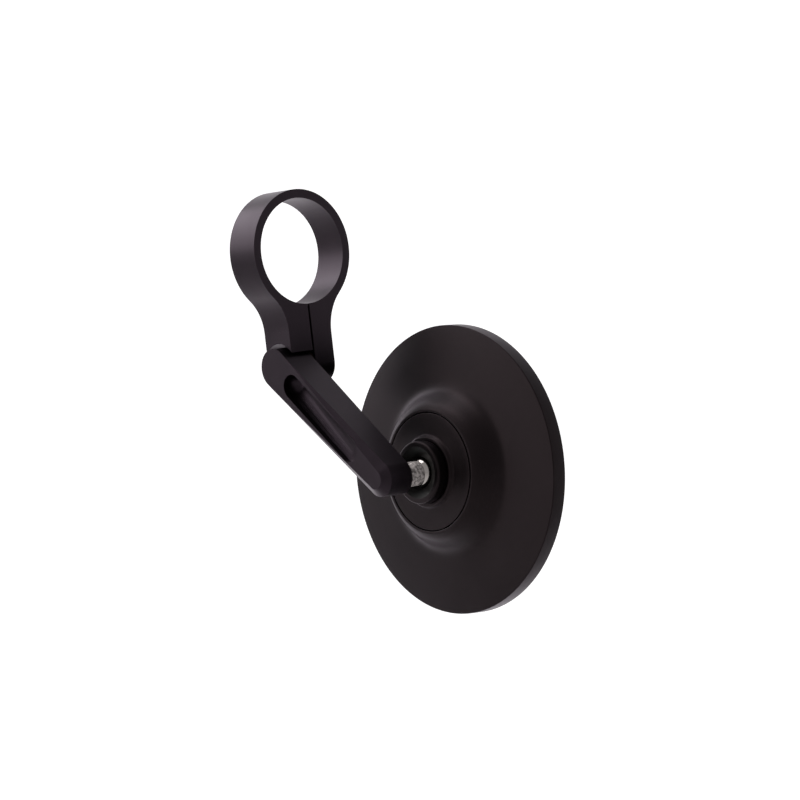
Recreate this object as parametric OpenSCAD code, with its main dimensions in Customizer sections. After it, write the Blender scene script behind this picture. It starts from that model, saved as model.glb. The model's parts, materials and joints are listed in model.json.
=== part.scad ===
// Round bar end mirror: a split clamp ring, a slotted swing arm and a mirror head on a ball joint.
// Origin: centre of the clamp bore. +X runs out along the bar, +Y runs back as the glass faces, +Z is up.

/* [Clamp ring] */
// Bore of the ring, the diameter of the bar end that it closes on, mm
bore_d = 36; // [34:0.5:37]
// Wall of the ring, mm
ring_wall = 3; // [2.8:0.1:4]
// Width of the ring and of its tang along the bar, mm
clamp_w = 13; // [13:0.5:14]
// Width of the slit that the clamp screw closes, mm
slit_w = 0.8; // [0.6:0.1:1]
// Drop from the bore centre to the pivot, mm
pivot_drop = 38.6; // [38.2:0.2:42]
// Front thickness of the tang, from the slit's middle, mm
tang_front = 9.85; // [9.6:0.05:11]
// Rear thickness of the tang, from the slit's middle, mm
tang_rear = 8.8; // [8.6:0.1:10]
// Radius of the front flare between ring and tang, mm
flare_front = 16; // [14:1:18]
// Radius of the rear flare between ring and tang, mm
flare_rear = 18; // [16:1:20]
// Gap between the arm's round end and the arch above it, mm
arch_gap = 1.4; // [1:0.1:1.6]

/* [Clamp and pivot screws] */
// Thread of the clamp screw, mm
clamp_screw_d = 5; // [4:1:5]
// Height of the clamp screw below the bore centre, mm
clamp_screw_drop = 27.4; // [27:0.1:27.6]
// Shoulder diameter of the pivot screw, mm
shoulder_d = 6; // [5:0.5:6.5]
// Head diameter of the pivot screw, mm
pivot_head_d = 8.6; // [8:0.1:9]
// Thickness of the friction washer between tang and arm, mm
washer_t = 1.7; // [1.4:0.1:2]
// Radial running clearance of a shaft in its hole, mm
run_fit = 0.05; // [0.02:0.01:0.09]

/* [Arm] */
// Distance between the pivot and the ball stud, mm
arm_len = 60; // [57:0.5:62]
// Drop of the arm below the horizontal as it is set here, degrees
arm_angle = 41.6; // [38:0.2:60]
// Radius of the arm's pivot end, mm
arm_r1 = 6.65; // [6.4:0.05:6.9]
// Radius of the arm's stud end, mm
arm_r2 = 6.05; // [5.8:0.05:6.2]
// Thickness of the arm, front to back, mm
arm_t = 11.5; // [11:0.1:12.5]
// Width of the front bevel at the stud end, seen from the front, mm
bevel_w = 2.8; // [1.5:0.1:3]
// Depth of the front bevel at the stud end, mm
bevel_d = 2.3; // [1.5:0.1:3]
// Where the bevel starts, from the pivot, mm
bevel_start = 2; // [1:0.5:12]
// Width of the pocket in the arm's front, mm
pocket_w = 8.4; // [7:0.1:8.6]
// Depth of the pocket, mm
pocket_d = 6; // [5:0.1:6.5]
// Height of the pocket's middle above the arm's, mm
pocket_rise = 0.3; // [0:0.1:0.5]
// Distance of the pocket's near end from the pivot, mm
pocket_near = 6.4; // [6.2:0.1:8]
// Distance of the pocket's far end from the ball stud, mm
pocket_far = 11.2; // [10.6:0.1:14]

/* [Ball stud] */
// Diameter of the ball, mm
ball_d = 11; // [10.6:0.1:11.2]
// Diameter of the shank, mm
shank_d = 8.3; // [7.6:0.1:8.4]
// Distance of the ball's centre behind the clamp's middle, mm
ball_y = 9.6; // [9:0.1:10]
// Thread of the stud in the arm, mm
stud_thread_d = 8; // [6:1:8]
// Depth of the stud's thread in the arm, mm
stud_thread_l = 8.6; // [7:0.2:8.8]

/* [Ball socket] */
// Outer diameter of the collar nut, mm
collar_d = 21; // [20:0.5:22]
// Height of the collar nut in front of the ball's centre, mm
collar_front = 3.4; // [3.2:0.1:3.6]
// Diameter of the collar's cone at its mouth, mm
mouth_d = 17.4; // [16.5:0.1:18]
// Wall of the liner cup behind the ball, mm
liner_t = 1.1; // [1:0.1:1.3]
// Half angle that the liner covers behind the ball, degrees
liner_cover = 60; // [50:1:62]
// Thread of the collar nut in the socket plate, mm
collar_thread_d = 18; // [17.6:0.2:18.4]
// Diameter of the socket plate, mm
plate_d = 39.4; // [38:0.1:40]
// Thickness of the socket plate, mm
plate_t = 3; // [2.8:0.1:3.2]
// Diameter of the lip round the collar nut, mm
lip_d = 23.6; // [23.4:0.1:25]
// Thread of the three screws that hold the socket plate, mm
plate_screw_d = 3; // [2.5:0.5:3]

/* [Mirror head] */
// Lean of the head about the bar's direction as it is set here, degrees
head_tilt = -2.5; // [-8:0.5:8]
// Turn of the head about the vertical as it is set here, degrees
head_turn = 0.9; // [-8:0.1:8]

/* [Mirror housing] */
// Outer diameter of the housing, mm
housing_d = 97.2; // [96:0.2:104]
// Height of the straight rim, mm
rim_h = 5.4; // [5:0.1:6.5]
// Wall of the rim, mm
rim_wall = 1.4; // [1.2:0.1:2]
// Distance of the rim's front edge behind the ball's centre, mm
rim_back = 12.6; // [12.2:0.1:13]
// Distance of the shoulder's face behind the ball's centre, mm
shoulder_back = 2; // [1.8:0.1:2.6]
// Width of the flat shoulder outside the groove, mm
shoulder_w = 0.85; // [0.6:0.05:1.5]
// Radius of the round between shoulder and flank, mm
shoulder_round = 2.4; // [1.5:0.1:2.6]
// Width of the dished flank, from the shoulder to the outer ring of the back, mm
flank_w = 7.9; // [7.5:0.1:9]
// Radius of the sweep between flank and outer ring, mm
flank_sweep = 3.6; // [2:0.1:3.8]
// Thickness of the housing's floor behind the socket plate, mm
floor_t = 2.2; // [2:0.1:2.4]
// Rise of the outer ring of the back from the flank to the rim, mm
cone_rise = 2.5; // [1.5:0.1:3]
// Width of the groove round the socket plate, mm
groove_w = 0.35; // [0.25:0.05:0.5]

/* [Glass] */
// Thickness of the glass, mm
glass_t = 1.8; // [1.6:0.1:2.2]
// Thickness of the foam pad behind the glass, mm
pad_t = 0.8; // [0.5:0.1:1]
// Width of the foam pad's ring, mm
pad_w = 9; // [6:0.5:12]
// Clearance of the glass in the rim, mm
glass_gap = 0.1; // [0.05:0.05:0.3]

/* [View] */
// The piece to draw

/* [Hidden] */
$fn = 96;

black_alu = [0.19, 0.18, 0.19];
black_steel = [0.13, 0.13, 0.14];
bright_steel = [0.72, 0.72, 0.74];
bronze = [0.62, 0.48, 0.28];
polymer = [0.86, 0.86, 0.82];
foam_grey = [0.24, 0.24, 0.25];
glass_grey = [0.78, 0.82, 0.84];

ring_r = bore_d / 2 + ring_wall;
half_w = clamp_w / 2;
half_slit = slit_w / 2;
tang_half = half_w;
arch_r = arm_r1 + arch_gap;

clamp_head_d = clamp_screw_d * 1.7;
clamp_head_h = clamp_screw_d;
clamp_washer_t = 1;
clamp_sink = clamp_head_h + clamp_washer_t - 0.8;
clamp_sink_d = clamp_head_d + 0.7;
clamp_thread_l = 7.6;

pivot_sink_d = pivot_head_d + 0.7;
pivot_head_h = 3.6;
pivot_spring_t = 0.7;
thrust_t = 0.6;
pivot_sink = pivot_head_h + pivot_spring_t + thrust_t + 0.3;
pivot_thread_d = shoulder_d - 1;
pivot_thread_l = 8.4;

hair = 0.01;
arm_back = half_slit - washer_t;
arm_front = arm_back - arm_t;
pocket_r = pocket_w / 2;
pocket_s1 = pocket_near + pocket_r;
pocket_s2 = arm_len - pocket_far - pocket_r;

head_x = arm_len * cos(arm_angle);
head_z = -pivot_drop - arm_len * sin(arm_angle);
ball_r = ball_d / 2;
seat_r = ball_r + run_fit;
liner_r = seat_r + liner_t;
cup_r = liner_r + run_fit;
cup_body_r = cup_r + 0.5;
cup_bore_r = cup_body_r + run_fit;
cup_front = 1.2;
cup_back = cup_r + 0.9;
spring_t = 1.2;
socket_floor = cup_back + spring_t + 0.15;
socket_back = socket_floor + 1.4;
lip_front = 0.4;
collar_thread_l = 4.6;
plate_front = shoulder_back;
plate_back = shoulder_back + plate_t;
hub_r = cup_bore_r + plate_screw_d * 1.4;
open_r = plate_d / 2 + groove_w;
shoulder_r = open_r + shoulder_w;
flank_r = shoulder_r + flank_w;
edge_break = 0.25;
floor_back = plate_back + floor_t;
screw_circle = hub_r + plate_screw_d * 4 / 3;
screw_head_d = plate_screw_d * 1.8;
screw_head_h = plate_screw_d * 0.55;

rim_r = housing_d / 2;
glass_seat = rim_back + 2.6;
glass_r = rim_r - rim_wall - glass_gap;
pad_r = glass_r - 0.4;
rim_end = rim_back + rim_h;

// Everything on the clamp's screws: local +Z runs to the rear, from the slit's middle.
module across(z) {
  translate([0, 0, z]) rotate([-90, 0, 0]) children();
}

// The arm's own frame: +X along the arm from the pivot, +Z across it, upwards, +Y to the rear.
module on_arm() {
  translate([0, 0, -pivot_drop]) rotate([0, arm_angle, 0]) children();
}

// The stud's axis through the ball's centre: local +Z runs to the rear.
module on_stud() {
  translate([head_x, ball_y, head_z]) rotate([-90, 0, 0]) children();
}

// The mirror head's axis through the ball's centre: local +Z runs to the rear, towards the glass.
module on_head() {
  translate([head_x, ball_y, head_z]) rotate([head_tilt, 0, head_turn]) rotate([-90, 0, 0]) children();
}

// A block whose near face passes through the point p with the outward normal n.
module half_space(p, n) {
  translate(p)
    rotate([0, acos(n[2] / norm(n)), atan2(n[1], n[0])])
      translate([-60, -60, 0]) cube([120, 120, 30]);
}

// A turned piece: the outline's points are [radius, distance behind the ball's centre].
module turned(points) {
  rotate_extrude() polygon(points);
}

// Points of an arc about c, from angle a to angle b, with n steps.
function arc(c, r, a, b, n) =
  [for (i = [0:n]) let (t = a + (b - a) * i / n) [c[0] + r * cos(t), c[1] + r * sin(t)]];

// One flare of the neck in the clamp's outline, y outwards and z up: a chord with a round bite.
module flare(half, r) {
  zc = -sqrt(pow(ring_r + r, 2) - pow(half + r, 2));
  to_centre = [half + r, zc] / (ring_r + r);
  touch = to_centre * ring_r;
  difference() {
    polygon([
      [0, -bore_d / 2 + 1], touch - 1.5 * to_centre, touch + 0.6 * to_centre,
      [half + 1, zc], [0, zc]
    ]);
    translate([half + r, zc]) circle(r - 0.01);
  }
}

module clamp_outline() {
  zf = -sqrt(pow(ring_r + flare_front, 2) - pow(tang_front + flare_front, 2));
  zr = -sqrt(pow(ring_r + flare_rear, 2) - pow(tang_rear + flare_rear, 2));
  circle(ring_r);
  mirror([1, 0]) flare(tang_front, flare_front);
  flare(tang_rear, flare_rear);
  translate([-tang_front, -pivot_drop]) square([tang_front, pivot_drop + zf + 0.01]);
  translate([0, -pivot_drop]) square([tang_rear, pivot_drop + zr + 0.01]);
}

module bar_clamp() {
  color(black_alu) difference() {
    union() {
      translate([-half_w, 0, 0])
        rotate([90, 0, 90]) linear_extrude(clamp_w) clamp_outline();
      across(-pivot_drop) translate([0, 0, half_slit]) cylinder(r = tang_half, h = tang_rear - half_slit);
    }
    translate([-half_w - 1, 0, 0]) rotate([0, 90, 0]) cylinder(d = bore_d, h = clamp_w + 2);
    translate([-half_w - 1, -half_slit, -pivot_drop - 20])
      cube([clamp_w + 2, slit_w, pivot_drop + 20 - bore_d / 2 + 1]);
    across(-pivot_drop) translate([0, 0, -tang_front - 1])
      cylinder(r = arch_r, h = tang_front + 1);
    translate([-half_w - 1, -tang_front - 1, -pivot_drop - 1])
      cube([clamp_w + 2, tang_front + 1, 1.5]);
    across(-clamp_screw_drop) {
      translate([0, 0, -clamp_thread_l]) cylinder(d = clamp_screw_d, h = clamp_thread_l + 1);
      cylinder(d = clamp_screw_d + 0.5, h = tang_rear + 1);
      translate([0, 0, tang_rear - clamp_sink]) cylinder(d = clamp_sink_d, h = clamp_sink + 8);
    }
    across(-pivot_drop) {
      cylinder(d = shoulder_d + 2 * run_fit, h = tang_rear + 1);
      translate([0, 0, tang_rear - pivot_sink]) cylinder(d = pivot_sink_d, h = pivot_sink + 1);
    }
  }
}

// A socket head cap screw: the head's seat at z = 0, the head towards +Z, a hex socket in it.
module cap_screw(d, head_d, head_h, shank_l, key) {
  difference() {
    union() {
      translate([0, 0, -shank_l]) cylinder(d = d, h = shank_l + 0.5);
      translate([0, 0, -shank_l - 0.5]) cylinder(d1 = d - 1, d2 = d, h = 0.5);
      cylinder(d = head_d, h = head_h - 0.4);
      translate([0, 0, head_h - 0.4]) cylinder(d1 = head_d, d2 = head_d - 0.8, h = 0.4);
    }
    translate([0, 0, head_h / 2]) cylinder(d = key / cos(30), h = head_h, $fn = 6);
  }
}

// A flat ring standing on z = 0.
module flat_ring(d, hole, t) {
  difference() {
    cylinder(d = d, h = t);
    translate([0, 0, -1]) cylinder(d = hole, h = t + 2);
  }
}

module clamp_screw() {
  seat = tang_rear - clamp_sink + clamp_washer_t;
  color(black_steel) across(-clamp_screw_drop) translate([0, 0, seat])
    cap_screw(clamp_screw_d, clamp_head_d, clamp_head_h, seat + clamp_thread_l - 1, clamp_screw_d * 0.8);
}

module clamp_washer() {
  color(black_steel) across(-clamp_screw_drop) translate([0, 0, tang_rear - clamp_sink])
    flat_ring(clamp_sink_d - 0.3, clamp_screw_d + 0.3, clamp_washer_t);
}

module friction_washer() {
  color(bronze) across(-pivot_drop) translate([0, 0, arm_back])
    flat_ring(clamp_w - 0.7, shoulder_d + 2 * run_fit, washer_t);
}

module thrust_washer() {
  color(bronze) across(-pivot_drop) translate([0, 0, tang_rear - pivot_sink])
    flat_ring(pivot_sink_d - 0.4, shoulder_d + 2 * run_fit, thrust_t);
}

// A cone spring under the pivot screw's head: it keeps the arm's friction steady.
module pivot_spring() {
  outer = pivot_head_d / 2;
  inner = shoulder_d / 2 + run_fit;
  color(bright_steel) across(-pivot_drop) translate([0, 0, tang_rear - pivot_sink + thrust_t])
    turned([[outer, 0], [outer, 0.45], [inner, pivot_spring_t], [inner, pivot_spring_t - 0.45]]);
}

module pivot_screw() {
  seat = tang_rear - pivot_sink + thrust_t + pivot_spring_t;
  color(black_steel) across(-pivot_drop) {
    translate([0, 0, seat]) cap_screw(shoulder_d, pivot_head_d, pivot_head_h, seat - arm_back - 0.5, 3);
    translate([0, 0, arm_back - pivot_thread_l + 0.6])
      cylinder(d = pivot_thread_d, h = pivot_thread_l - 0.4);
  }
}

// The arm's blank: a bar between two round ends. Its sides lie a hair inside the rounds.
module arm_blank() {
  translate([0, arm_back, 0]) rotate([90, 0, 0]) {
    linear_extrude(arm_t) polygon([
      [0, hair - arm_r1], [arm_len, hair - arm_r2], [arm_len, arm_r2 - hair], [0, arm_r1 - hair]
    ]);
    cylinder(r = arm_r1, h = arm_t);
    translate([arm_len, 0, 0]) cylinder(r = arm_r2, h = arm_t);
  }
}

// What one long bevel takes away: nothing near the pivot, most at the stud.
module long_bevel(side) {
  run = arm_len - bevel_start;
  start_r = arm_r1 + (arm_r2 - arm_r1) * bevel_start / arm_len;
  lean = (start_r - arm_r2) / run;
  slope = bevel_w / run + lean;
  intersection() {
    half_space(
      [bevel_start, arm_front, side * start_r],
      [slope, -(slope - lean) * run / bevel_d, side]
    );
    translate([-arm_len, arm_front - 2 * arm_t, -arm_len]) cube([2 * arm_len, 3 * arm_t, 2 * arm_len]);
  }
}

// What the round bevel takes away at the stud's end: it runs on from the two long bevels.
module end_bevel() {
  intersection() {
    translate([arm_len, arm_front, 0]) rotate([-90, 0, 0]) turned([
      [arm_r2 - 1.5 * bevel_w + hair, -bevel_d / 2], [arm_r2 + bevel_w + hair, -bevel_d / 2],
      [arm_r2 + bevel_w + hair, 2 * bevel_d]
    ]);
    translate([arm_len - hair, arm_front - arm_t, -arm_len]) cube([arm_len, 2 * arm_t, 2 * arm_len]);
  }
}

// A ball-nosed pocket, milled from the front face.
module pocket() {
  axis_y = arm_front + pocket_d - pocket_r;
  translate([pocket_s1, axis_y, pocket_rise]) {
    rotate([0, 90, 0]) cylinder(r = pocket_r, h = pocket_s2 - pocket_s1);
    sphere(pocket_r);
    translate([pocket_s2 - pocket_s1, 0, 0]) sphere(pocket_r);
    rotate([90, 0, 0]) cylinder(r = pocket_r, h = pocket_d);
    translate([pocket_s2 - pocket_s1, 0, 0]) rotate([90, 0, 0]) cylinder(r = pocket_r, h = pocket_d);
    translate([0, -pocket_d, -pocket_r]) cube([pocket_s2 - pocket_s1, pocket_d, pocket_w]);
  }
}

module mirror_arm() {
  color(black_alu) on_arm() difference() {
    arm_blank();
    long_bevel(1);
    long_bevel(-1);
    end_bevel();
    pocket();
    translate([0, arm_back + 1, 0]) rotate([90, 0, 0]) cylinder(d = pivot_thread_d, h = pivot_thread_l + 1);
    translate([arm_len, arm_back + 1, 0])
      rotate([90, 0, 0]) cylinder(d = stud_thread_d, h = stud_thread_l + 1);
  }
}

module ball_stud() {
  color(bright_steel) on_stud() {
    sphere(ball_r);
    translate([0, 0, arm_back - ball_y]) cylinder(d = shank_d, h = ball_y - arm_back - 1);
    translate([0, 0, arm_back - ball_y - stud_thread_l + 0.4])
      cylinder(d = stud_thread_d, h = stud_thread_l);
  }
}

// The plastic cup behind the ball, round inside and out.
module ball_liner() {
  edge = cup_r * 2;
  color(polymer) on_head() rotate_extrude() intersection() {
    difference() {
      circle(liner_r);
      circle(seat_r);
    }
    polygon([[0, 0], [edge * sin(liner_cover), edge * cos(liner_cover)], [0, edge]]);
  }
}

module seat_cup() {
  color(polymer) on_head() difference() {
    translate([0, 0, cup_front]) cylinder(r = cup_body_r, h = cup_back - cup_front);
    sphere(cup_r);
  }
}

// A cone spring that presses the cup and its liner on the ball.
module seat_spring() {
  color(bright_steel) on_head() translate([0, 0, cup_back + run_fit])
    turned([
      [cup_body_r - 0.4, spring_t - 0.6], [cup_body_r - 0.4, spring_t],
      [3.4, 0.6], [3.4, 0]
    ]);
}

module collar_nut() {
  r = collar_d / 2;
  mouth_r = mouth_d / 2;
  seat_lip = 1.7;
  seat_lip_r = sqrt(pow(seat_r, 2) - pow(seat_lip, 2)) + 0.06;
  color(black_alu) on_head() difference() {
    union() {
      turned([
        [0, -collar_front], [r - 0.8, -collar_front], [r, -collar_front + 0.8],
        [r, lip_front - 0.3], [r - 0.3, lip_front], [0, lip_front]
      ]);
      cylinder(d = collar_thread_d - 0.1, h = lip_front + collar_thread_l);
    }
    sphere(seat_r);
    translate([0, 0, -collar_front - 1])
      cylinder(r1 = mouth_r + (mouth_r - seat_lip_r) / (collar_front - seat_lip), r2 = seat_lip_r,
               h = collar_front - seat_lip + 1);
    translate([0, 0, 0.3]) cylinder(r = cup_bore_r, h = 10);
  }
}

// The round plate that closes the housing's centre: a lip for the collar nut, a flared face, a rear hub.
module socket_plate() {
  lip_r = lip_d / 2;
  r = plate_d / 2;
  face = concat(
    [[collar_thread_d / 2, lip_front], [lip_r - 0.9, lip_front]],
    arc([lip_r - 0.9, lip_front + 0.9], 0.9, -60, 0, 4),
    [
      for (i = [1:6])
        let (t = i / 6)
        [lip_r + 5.6 * t, lip_front + 1.2 + (plate_front - lip_front - 1.2) * (1 - pow(1 - t, 2))]
    ],
    [[r - 0.25, plate_front], [r, plate_front + 0.25], [r, plate_back]]
  );
  color(black_alu) on_head() difference() {
    turned(concat(face, [
      [hub_r, plate_back], [hub_r, socket_back], [0, socket_back], [0, socket_floor],
      [cup_bore_r, socket_floor], [cup_bore_r, lip_front + collar_thread_l + 0.2],
      [collar_thread_d / 2, lip_front + collar_thread_l + 0.2]
    ]));
    plate_screw_places() translate([0, 0, plate_front + 0.7])
      cylinder(d = plate_screw_d, h = plate_t);
  }
}

module plate_screw_places() {
  for (a = [90:120:330]) rotate([0, 0, a]) translate([screw_circle, 0, 0]) children();
}

module plate_screws() {
  color(black_steel) on_head() plate_screw_places() translate([0, 0, floor_back])
    difference() {
      union() {
        translate([0, 0, plate_screw_d / 3 - floor_t - plate_t])
          cylinder(d = plate_screw_d, h = floor_t + plate_t);
        cylinder(d = screw_head_d, h = screw_head_h);
      }
      translate([0, 0, screw_head_h * 0.45]) cylinder(d = plate_screw_d * 0.8, h = screw_head_h, $fn = 6);
    }
}

// The back's outline from the shoulder to the outer ring: a round, a straight flank and a sweep, each
// tangent to the next. The flank is the inner tangent of the two circles.
function flank_outline() =
  let (
    ring_lean = atan(cone_rise / (rim_r - flank_r)),
    round_c = [shoulder_r, shoulder_back + shoulder_round],
    sweep_c = [flank_r, rim_back - cone_rise] + flank_sweep * [sin(ring_lean), -cos(ring_lean)],
    span = sweep_c - round_c,
    outward = atan2(span[1], span[0]) - acos((shoulder_round + flank_sweep) / norm(span))
  )
  concat(
    arc(round_c, shoulder_round, -90, outward, 10),
    arc(sweep_c, flank_sweep, outward + 180, 90 + ring_lean, 10)
  );

module mirror_housing() {
  inner_r = rim_r - rim_wall;
  color(black_alu) on_head() difference() {
    turned(concat(
      [[open_r, shoulder_back + edge_break], [open_r + edge_break, shoulder_back]],
      flank_outline(),
      [[rim_r - edge_break, rim_back - 0.05], [rim_r, rim_back + edge_break]],
      [[rim_r, rim_end - edge_break], [rim_r - edge_break, rim_end]],
      [[inner_r, rim_end], [inner_r, glass_seat], [flank_r + 4.6, glass_seat]],
      [[open_r + 3.4, floor_back], [hub_r + 0.15, floor_back], [hub_r + 0.15, plate_back]],
      [[open_r, plate_back]]
    ));
    plate_screw_places()
      translate([0, 0, plate_back - 1]) cylinder(d = plate_screw_d + 0.4, h = floor_t + 2);
  }
}

module foam_pad() {
  color(foam_grey) on_head() translate([0, 0, glass_seat])
    flat_ring(2 * pad_r, 2 * (pad_r - pad_w), pad_t);
}

module mirror_glass() {
  edge = 0.3;
  back = glass_seat + pad_t;
  color(glass_grey) on_head() turned([
    [0, back], [glass_r, back], [glass_r, back + glass_t - edge],
    [glass_r - edge, back + glass_t], [0, back + glass_t]
  ]);
}

bar_clamp();
clamp_screw();
clamp_washer();
friction_washer();
thrust_washer();
pivot_spring();
pivot_screw();
mirror_arm();
ball_stud();
ball_liner();
seat_cup();
seat_spring();
collar_nut();
socket_plate();
plate_screws();
mirror_housing();
foam_pad();
mirror_glass();
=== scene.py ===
"""Looks of a round bar end mirror: satin black clamp, slotted swing arm, ball joint and dished head."""

import json
import logging
import math
from dataclasses import dataclass, field
from enum import Enum

import bmesh
import bpy
import numpy as np
from mathutils import Matrix, Vector


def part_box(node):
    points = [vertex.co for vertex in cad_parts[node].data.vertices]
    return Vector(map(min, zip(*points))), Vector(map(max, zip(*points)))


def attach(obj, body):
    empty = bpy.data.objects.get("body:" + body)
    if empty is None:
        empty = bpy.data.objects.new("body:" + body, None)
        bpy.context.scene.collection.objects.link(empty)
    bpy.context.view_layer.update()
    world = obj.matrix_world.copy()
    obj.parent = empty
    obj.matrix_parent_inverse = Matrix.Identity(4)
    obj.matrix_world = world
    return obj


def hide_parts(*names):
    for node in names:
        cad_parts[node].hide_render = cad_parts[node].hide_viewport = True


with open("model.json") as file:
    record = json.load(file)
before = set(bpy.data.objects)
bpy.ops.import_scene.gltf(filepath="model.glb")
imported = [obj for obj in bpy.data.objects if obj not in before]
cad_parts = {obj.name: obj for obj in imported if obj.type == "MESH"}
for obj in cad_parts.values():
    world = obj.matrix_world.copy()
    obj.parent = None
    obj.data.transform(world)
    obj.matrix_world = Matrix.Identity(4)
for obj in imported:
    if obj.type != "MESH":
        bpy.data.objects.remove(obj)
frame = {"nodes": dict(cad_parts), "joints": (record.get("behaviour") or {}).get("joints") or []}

LOG = logging.getLogger("bar_end_mirror")
MM = 0.001
# The noise values between which the roughness runs, and the two at which the tone is darkest and lightest.
PATCH_RANGE = (0.3, 0.7)
TONE_STOPS = (0.38, 0.62)
# A wave texture's rings repeat at this distance when its scale is one.
WAVE_PERIOD = math.pi / 10
# The height of a grain as a share of its width.
GRAIN_HEIGHT = 0.15
# On turned pieces, points nearer than the first are one, and edges shorter than the second go.
SAME_POINT_M = 1e-7
NO_LENGTH_M = 1e-8
# The share of a side that the round at each of its ends may take.
ROUND_SHARE = 0.49


class Body(Enum):
    """The moving bodies that finished pieces ride on."""

    CLAMP = "clamp"
    ARM = "arm"
    HEAD = "head"


def linear(hex_colour: str) -> tuple[float, float, float, float]:
    """Turns an sRGB hex colour to Blender's linear colour.

    The curve is straight near black and a power of 2.4 above.

    Args:
        hex_colour: six hex digits with a leading hash sign.

    Returns:
        Red, green, blue and an alpha of one.
    """
    parts = [int(hex_colour[i:i + 2], 16) / 255 for i in (1, 3, 5)]
    made = [c / 12.92 if c <= 0.04045 else ((c + 0.055) / 1.055) ** 2.4 for c in parts]
    return (made[0], made[1], made[2], 1.0)


def add_node(
    tree: bpy.types.NodeTree, kind: str, links: dict | None = None, **settings: object,
) -> bpy.types.Node:
    """Adds one shader node with its settings and its incoming links.

    Args:
        tree: the node tree of a material or the world.
        kind: the node's type name.
        links: input name or index to the output socket that feeds it.
        **settings: node properties, or input values where the name is an input's in lower case.

    Returns:
        The new node.
    """
    node = tree.nodes.new(kind)
    inputs = {s.name.lower().replace(" ", "_"): s for s in reversed(node.inputs)}
    for name, value in settings.items():
        if name in inputs:
            inputs[name].default_value = value
        else:
            setattr(node, name, value)
    for name, source in (links or {}).items():
        tree.links.new(source, node.inputs[name])
    return node


@dataclass(frozen=True)
class GrainedFinish:
    """A surface with a fine grain, as cutting, blasting or moulding leaves it, as one shader.

    Attributes:
        name: the material's name, in a maker's words.
        colour: sRGB hex colour of the surface.
        roughness: microscopic roughness of the finish.
        metallic: share of the surface that reflects as bare metal.
        grain_mm: width of a grain. Fine grit leaves grains of about 0.1 mm, too fine to show in the
            render, so they are drawn a few times as wide.
        grain_depth: strength of the grain's bump.
        mottle: change of roughness from patch to patch.
        specular: level of the plain surface reflection, 0.5 is usual.
        lathe_pitch_mm: spacing of the turning marks, 0 for none. A finishing cut feeds about 0.15 mm a
            turn, too fine to show, so they are drawn wider.
        tone: share by which the colour grows lighter and darker from place to place.
        speckled: True where the tone follows the grain, False where it follows the wider patches.
        edge_tint: sRGB hex colour of the reflection at grazing angles.
        patch_mm: size of the wider patches of roughness and tone.
    """

    name: str
    colour: str
    roughness: float
    metallic: float
    grain_mm: float = 0.35
    grain_depth: float = 0.15
    mottle: float = 0.04
    specular: float = 0.5
    lathe_pitch_mm: float = 0.0
    tone: float = 0.06
    speckled: bool = False
    edge_tint: str = "#FFFFFF"
    patch_mm: float = 14.0

    def build(self, centre: Vector | None = None, direction: Vector | None = None) -> bpy.types.Material:
        """Makes the material.

        Args:
            centre: a point on the lathe's axis in metres, for turning marks.
            direction: the lathe's axis, for turning marks.

        Returns:
            The material.
        """
        made = bpy.data.materials.new(self.name)
        made.use_nodes = True
        tree = made.node_tree
        tree.nodes.clear()
        place = add_node(tree, "ShaderNodeTexCoord").outputs["Object"]
        grain = add_node(
            tree, "ShaderNodeTexNoise", {"Vector": place},
            scale=1 / (self.grain_mm * MM), detail=2.0, roughness=0.55,
        )
        patches = add_node(
            tree, "ShaderNodeTexNoise", {"Vector": place}, scale=1 / (self.patch_mm * MM), detail=3.0,
        )
        rough = add_node(
            tree, "ShaderNodeMapRange", {"Value": patches.outputs[0]},
            from_min=PATCH_RANGE[0], from_max=PATCH_RANGE[1],
            to_min=self.roughness - self.mottle, to_max=self.roughness + self.mottle,
        )
        dye = add_node(tree, "ShaderNodeValToRGB", {"Fac": (grain if self.speckled else patches).outputs[0]})
        for stop, at, share in zip(dye.color_ramp.elements, TONE_STOPS, (-self.tone, self.tone)):
            stop.position = at
            stop.color = tuple(c * (1 + share) for c in linear(self.colour)[:3]) + (1.0,)
        height = grain.outputs[0]
        if self.lathe_pitch_mm > 0 and centre is not None and direction is not None:
            height = self._turning_marks(tree, place, height, centre, direction)
        bump = add_node(
            tree, "ShaderNodeBump", {"Height": height},
            strength=self.grain_depth, distance=GRAIN_HEIGHT * self.grain_mm * MM,
        )
        shader = add_node(
            tree, "ShaderNodeBsdfPrincipled",
            {"Base Color": dye.outputs[0], "Roughness": rough.outputs[0], "Normal": bump.outputs[0]},
            metallic=self.metallic, specular_ior_level=self.specular, specular_tint=linear(self.edge_tint),
        )
        add_node(tree, "ShaderNodeOutputMaterial", {"Surface": shader.outputs[0]})
        return made

    def _turning_marks(
        self, tree: bpy.types.NodeTree, place: bpy.types.NodeSocket, grain: bpy.types.NodeSocket,
        centre: Vector, direction: Vector,
    ) -> bpy.types.NodeSocket:
        """Adds faint rings about the lathe's axis to the grain.

        Args:
            tree: the node tree.
            place: the Object coordinates.
            grain: the grain's height.
            centre: a point on the axis in metres.
            direction: the axis.

        Returns:
            The socket with rings and grain together.
        """
        turn = direction.normalized().rotation_difference(Vector((0, 0, 1))).to_euler()
        shift = Matrix.LocRotScale(None, turn, None) @ centre
        mapping = add_node(
            tree, "ShaderNodeMapping", {"Vector": place}, rotation=tuple(turn), location=tuple(-shift),
        )
        rings = add_node(
            tree, "ShaderNodeTexWave", {"Vector": mapping.outputs[0]},
            wave_type="RINGS", rings_direction="Z", scale=WAVE_PERIOD / (self.lathe_pitch_mm * MM),
            distortion=0.6, detail=1.0,
        )
        mixed = add_node(
            tree, "ShaderNodeMath", {0: rings.outputs["Fac"], 1: grain}, operation="ADD",
        )
        return mixed.outputs[0]


# What the black dye leaves of its faint violet where light grazes it.
DYE_EDGE = "#FFFAFF"

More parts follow.
